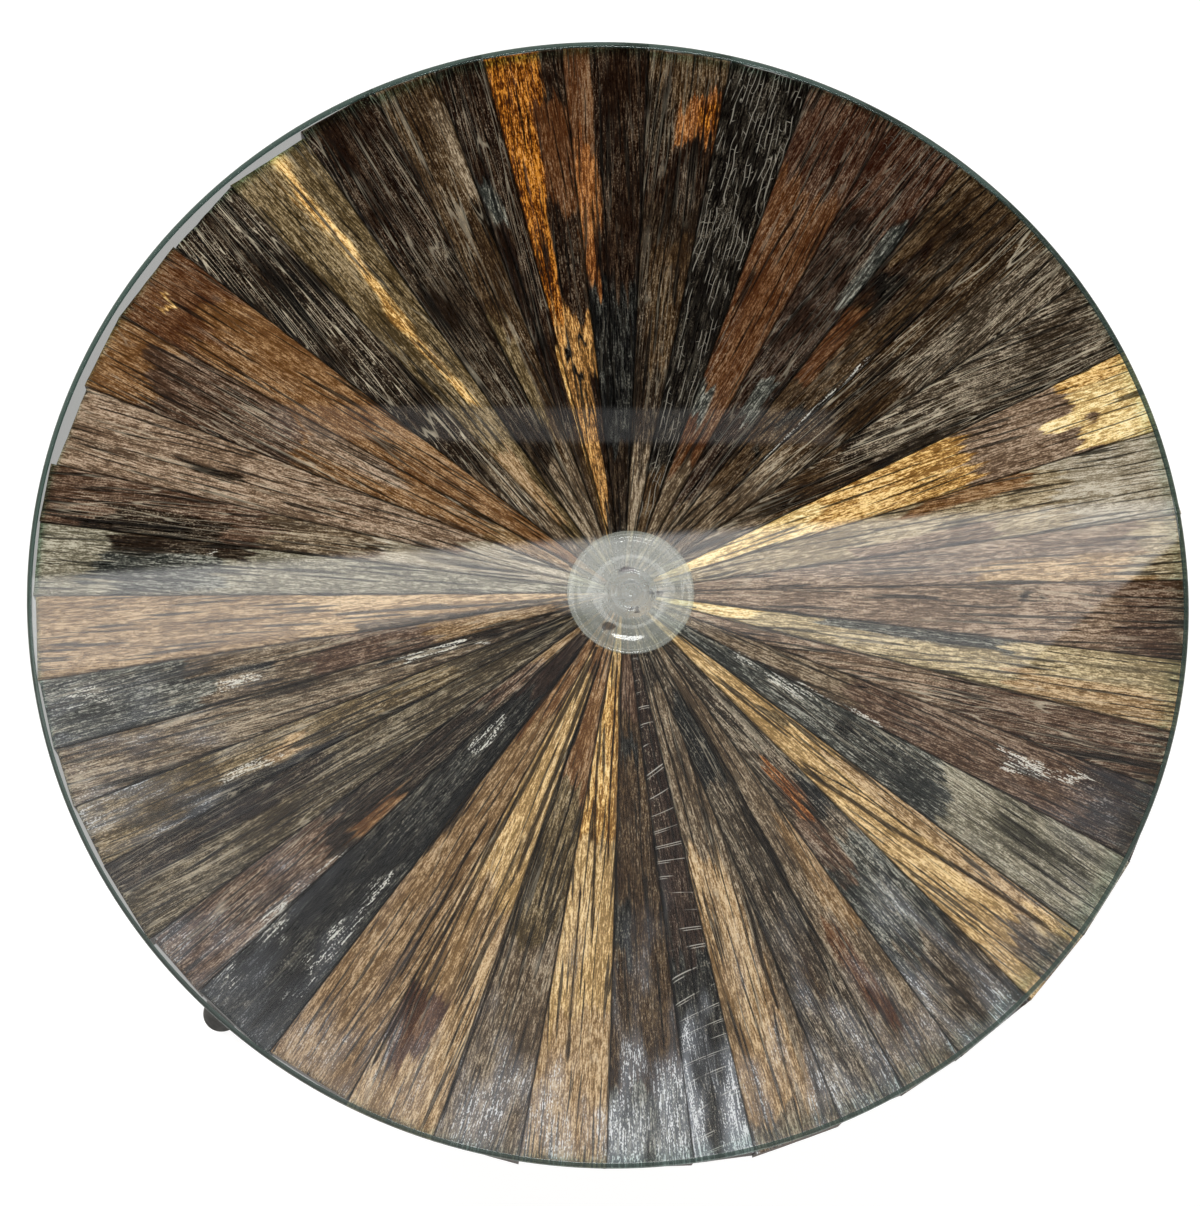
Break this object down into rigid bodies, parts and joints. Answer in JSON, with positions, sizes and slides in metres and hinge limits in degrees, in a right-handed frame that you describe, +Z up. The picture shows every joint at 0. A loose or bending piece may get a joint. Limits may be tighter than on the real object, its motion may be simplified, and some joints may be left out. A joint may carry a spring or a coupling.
{
  "type": "coffee table",
  "caption": "Round coffee table of radiating reclaimed-timber wedge staves under a clear glass top on a clear centre pad, on splayed iron legs.",
  "frame": {"origin": "on the floor, under the middle of the glass", "axes": "+Z up; +X to the right and +Y away from the side that is seen nearest"},
  "size_m": [0.7999, 0.8, 0.45],
  "materials": {
    "dark_timber": "varnished, weathered grain",
    "brown_timber": "varnished, weathered grain",
    "red_timber": "varnished, weathered grain",
    "golden_timber": "varnished, weathered grain",
    "grey_timber": "varnished, weathered grain",
    "plywood": "sealed plywood",
    "clear_glass": "clear float glass, polished pencil edge",
    "clear_vinyl": "clear soft vinyl, slightly milky",
    "black_iron": "satin black",
    "foot_rubber": "matte",
    "screw_steel": "zinc plated"
  },
  "bodies": {
    "table": {"stave_01": "brown_timber", "stave_02": "grey_timber", "stave_03": "golden_timber", "stave_04": "dark_timber", "stave_05": "grey_timber", "stave_06": "brown_timber", "stave_07": "red_timber", "stave_08": "red_timber", "stave_09": "dark_timber", "stave_10": "golden_timber", "stave_11": "dark_timber", "stave_12": "golden_timber", "stave_13": "dark_timber", "stave_14": "grey_timber", "stave_15": "dark_timber", "stave_16": "golden_timber", "stave_17": "dark_timber", "stave_18": "brown_timber", "stave_19": "red_timber", "stave_20": "grey_timber", "stave_21": "dark_timber", "stave_22": "grey_timber", "stave_23": "brown_timber", "stave_24": "dark_timber", "stave_25": "grey_timber", "stave_26": "golden_timber", "stave_27": "dark_timber", "stave_28": "red_timber", "stave_29": "dark_timber", "stave_30": "brown_timber", "stave_31": "brown_timber", "stave_32": "dark_timber", "stave_33": "golden_timber", "stave_34": "red_timber", "stave_35": "dark_timber", "stave_36": "brown_timber", "stave_37": "dark_timber", "stave_38": "red_timber", "stave_39": "dark_timber", "stave_40": "golden_timber", "stave_41": "grey_timber", "stave_42": "red_timber", "stave_43": "red_timber", "stave_44": "golden_timber", "stave_45": "red_timber", "backing_board": "plywood", "plate_screws": "screw_steel", "leg_plate_1": "black_iron", "leg_1": "black_iron", "foot_1": "foot_rubber", "leg_plate_2": "black_iron", "leg_2": "black_iron", "foot_2": "foot_rubber", "leg_plate_3": "black_iron", "leg_3": "black_iron", "foot_3": "foot_rubber"},
    "pad": {"centre_pad": "clear_vinyl"},
    "glass": {"glass_top": "clear_glass"}
  },
  "joints": [
    {"name": "glass_turn", "type": "hinge", "parent": "table", "child": "pad", "pos_m": [0.014, -0.006, 0.4396], "axis": [0, 0, 1], "continuous": true},
    {"name": "glass_lift", "type": "slide", "parent": "pad", "child": "glass", "axis": [0, 0, 1], "range_m": [0, 0.15]}
  ]
}
